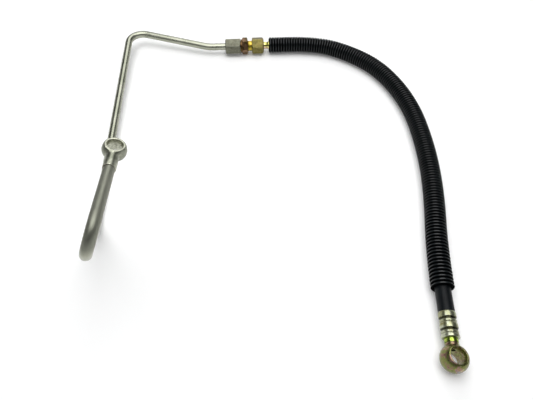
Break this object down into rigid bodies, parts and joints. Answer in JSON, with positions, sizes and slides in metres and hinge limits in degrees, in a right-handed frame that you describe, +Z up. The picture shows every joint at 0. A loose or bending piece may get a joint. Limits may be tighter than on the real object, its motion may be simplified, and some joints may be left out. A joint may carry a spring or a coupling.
{
  "type": "hydraulic hose assembly",
  "caption": "Bent steel pipe with a banjo eye, joined by a cone union and two nuts to a hose in a convoluted sleeve that ends in a crimped ferrule and a second banjo eye.",
  "frame": {"origin": "middle of the box around the pipe and the fittings, on the surface that the assembly lies on", "axes": "+X along the union's axis from the pipe towards the hose, +Y away from the two eyes towards the union, +Z up"},
  "size_m": [0.3297, 0.4212, 0.1179],
  "materials": {
    "pipe_steel": "satin drawn steel tube",
    "eye_zinc": "clear zinc plating, satin",
    "braze": "brazing filler",
    "ring_zinc": "zinc plated",
    "nut_zinc": "clear zinc plating, satin",
    "union_chromate": "dark yellow chromate",
    "nut_chromate": "yellow chromate",
    "nipple_chromate": "pale iridescent chromate",
    "seal_rubber": "black nitrile rubber",
    "ferrule_zinc": "pale yellow chromate",
    "liner_rubber": "smooth black rubber",
    "braid_wire": "braided steel wire",
    "cover_rubber": "smooth black rubber",
    "sleeve_plastic": "semi-gloss black convoluted plastic",
    "neck_chromate": "glossy green-yellow chromate",
    "eye_chromate": "iridescent olive chromate"
  },
  "bodies": {
    "union": {"union_body": "union_chromate"},
    "pipe": {"steel_pipe": "pipe_steel", "pipe_banjo_eye": "eye_zinc", "pipe_braze_ring": "braze", "cutting_ring": "ring_zinc"},
    "nut_on_pipe": {"pipe_nut": "nut_zinc"},
    "hose": {"hose_nipple": "nipple_chromate", "nipple_o_ring": "seal_rubber", "upper_ferrule": "ferrule_zinc", "hose_liner": "liner_rubber", "hose_braid": "braid_wire", "hose_cover": "cover_rubber", "protective_sleeve": "sleeve_plastic", "lower_ferrule": "ferrule_zinc", "lower_nipple": "neck_chromate", "lower_braze_ring": "braze", "hose_banjo_eye": "eye_chromate"},
    "nut_on_hose": {"hose_nut": "nut_chromate"}
  },
  "joints": [
    {"name": "pipe_withdraw", "type": "slide", "parent": "union", "child": "pipe", "axis": [-1, 0, 0], "range_m": [0, 0.00863]},
    {"name": "pipe_nut_turn", "type": "hinge", "parent": "pipe", "child": "nut_on_pipe", "pos_m": [-0.0047, 0.1836, 0.0098], "axis": [-1, 0, 0], "range_deg": [0, 2070.1]},
    {"name": "hose_withdraw", "type": "slide", "parent": "union", "child": "hose", "axis": [1, 0, 0], "range_m": [0, 0.00863]},
    {"name": "hose_nut_turn", "type": "hinge", "parent": "hose", "child": "nut_on_hose", "pos_m": [-0.0047, 0.1836, 0.0098], "axis": [1, 0, 0], "range_deg": [0, 2070.1]}
  ],
  "couplings": [
    {"joint": "pipe_nut_turn", "follows": "pipe_withdraw", "rad_per_m": 4188.8},
    {"joint": "hose_nut_turn", "follows": "hose_withdraw", "rad_per_m": 4188.8}
  ]
}
